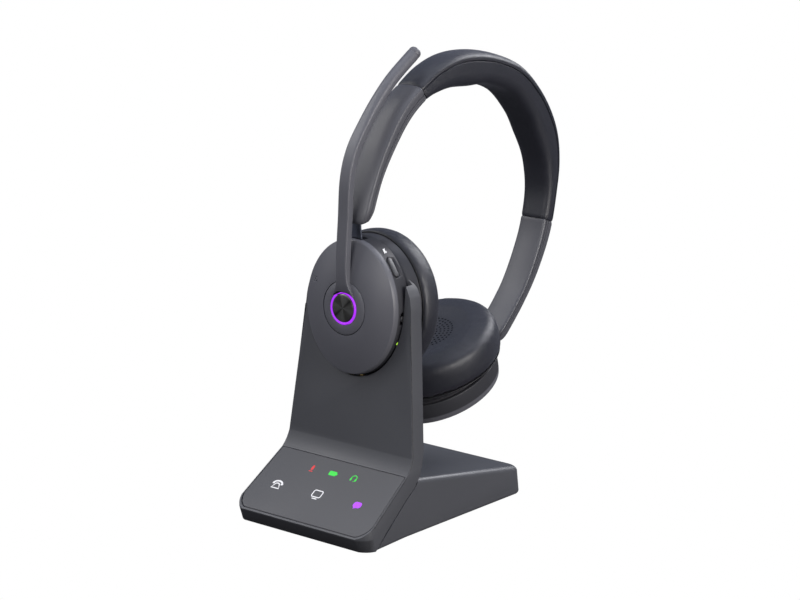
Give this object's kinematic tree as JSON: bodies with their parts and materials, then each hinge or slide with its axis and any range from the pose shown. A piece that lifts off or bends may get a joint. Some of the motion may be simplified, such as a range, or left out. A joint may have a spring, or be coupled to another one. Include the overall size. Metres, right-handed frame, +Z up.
{
  "type": "office headset",
  "caption": "Cordless on-ear headset with padded headband, swivelling microphone boom and lit hub, docked in the cradle of a sloped desk charging stand.",
  "frame": {"origin": "centre of the charging stand's underside, on the desk", "axes": "+Z up; the stand and its control panel face -Y; +X is the right-hand side seen from the front"},
  "size_m": [0.0934, 0.2153, 0.2486],
  "materials": {
    "stand_plastic": "fine matt grain, dark grey",
    "panel_plastic": "smooth satin, grey",
    "cup_plastic": "smooth satin, dark grey",
    "band_plastic": "satin, dark grey",
    "black_plastic": "matt black",
    "cushion_leather": "soft protein leather, near black with a blue cast",
    "base_rubber": "matt black",
    "slider_steel": "brushed",
    "button_metal": "radially brushed",
    "ballast_steel": "dull",
    "magnet_metal": "plain",
    "cell_foil": "foil pouch",
    "port_steel": "plain",
    "contact_gold": "polished",
    "board_green": "green circuit board",
    "ring_light": "violet, lit",
    "status_lamp": "green, lit"
  },
  "bodies": {
    "stand": {"front_plate": "stand_plastic", "touch_panel": "panel_plastic", "base_housing": "stand_plastic", "floor_plate": "black_plastic", "rubber_pad": "base_rubber", "ballast_weight": "ballast_steel", "stand_board": "board_green", "contact_block": "black_plastic", "charge_pin_left": "contact_gold", "charge_pin_right": "contact_gold", "usb_port_left": "port_steel", "usb_port_right": "port_steel"},
    "front_cup": {"front_cup_shell": "cup_plastic", "front_neck_housing": "band_plastic", "front_baffle": "black_plastic", "front_driver": "black_plastic", "front_driver_magnet": "magnet_metal", "front_cushion": "cushion_leather", "front_hinge_block": "black_plastic", "front_hinge_pin": "slider_steel", "front_board": "board_green", "battery_cell": "cell_foil", "cup_contact_left": "contact_gold", "cup_contact_right": "contact_gold", "status_light": "status_lamp"},
    "call_button": {"call_button": "button_metal"},
    "mute_button": {"mute_button": "cup_plastic"},
    "power_switch": {"power_switch": "cup_plastic"},
    "boom": {"boom_hub": "cup_plastic", "light_ring": "ring_light", "boom_arm": "cup_plastic", "microphone_cap": "black_plastic"},
    "front_slider": {"front_slider": "slider_steel"},
    "headband": {"arm_shell_front": "band_plastic", "arm_shell_back": "band_plastic", "arm_liner_front": "band_plastic", "arm_liner_back": "band_plastic", "headband_skin": "cushion_leather", "headband_pad": "cushion_leather", "headband_spring": "slider_steel"},
    "back_slider": {"back_slider": "slider_steel"},
    "back_cup": {"back_cup_shell": "cup_plastic", "back_neck_housing": "band_plastic", "back_baffle": "black_plastic", "back_driver": "black_plastic", "back_driver_magnet": "magnet_metal", "back_cushion": "cushion_leather", "back_hinge_block": "black_plastic", "back_hinge_pin": "slider_steel", "back_board": "board_green", "back_hub_cap": "cup_plastic"}
  },
  "joints": [
    {"name": "headset_lift", "type": "slide", "parent": "stand", "child": "front_cup", "axis": [0, 0.0523, 0.9986], "range_m": [0, 0.12]},
    {"name": "call_button_press", "type": "slide", "parent": "front_cup", "child": "call_button", "axis": [0, 0.9986, -0.0523], "range_m": [0, 0.0006], "stiffness_N_per_m": 2000, "springref_m": -0.0004},
    {"name": "mute_button_press", "type": "slide", "parent": "front_cup", "child": "mute_button", "axis": [-0.8195, -0.03, -0.5723], "range_m": [0, 0.0005], "stiffness_N_per_m": 2000, "springref_m": -0.0004},
    {"name": "power_switch_slide", "type": "slide", "parent": "front_cup", "child": "power_switch", "axis": [0.0582, 0.0522, 0.9969], "range_m": [-0.0013, 0.0013]},
    {"name": "boom_turn", "type": "hinge", "parent": "front_cup", "child": "boom", "pos_m": [0, -0.03064, 0.11719], "axis": [0, -0.9986, 0.0523], "range_deg": [-120, 120]},
    {"name": "front_cup_tilt", "type": "hinge", "parent": "front_cup", "child": "front_slider", "pos_m": [0, -0.01946, 0.14715], "axis": [1, 0, 0], "range_deg": [0, 3]},
    {"name": "front_extension", "type": "slide", "parent": "front_slider", "child": "headband", "axis": [0, 0.4127, 0.9109], "range_m": [0, 0.01]},
    {"name": "back_extension", "type": "slide", "parent": "headband", "child": "back_slider", "axis": [0, -0.6642, -0.7475], "range_m": [0, 0.006]},
    {"name": "back_cup_tilt", "type": "hinge", "parent": "back_slider", "child": "back_cup", "pos_m": [0, 0.0771, 0.07284], "axis": [1, 0, 0], "range_deg": [0, 8]}
  ]
}
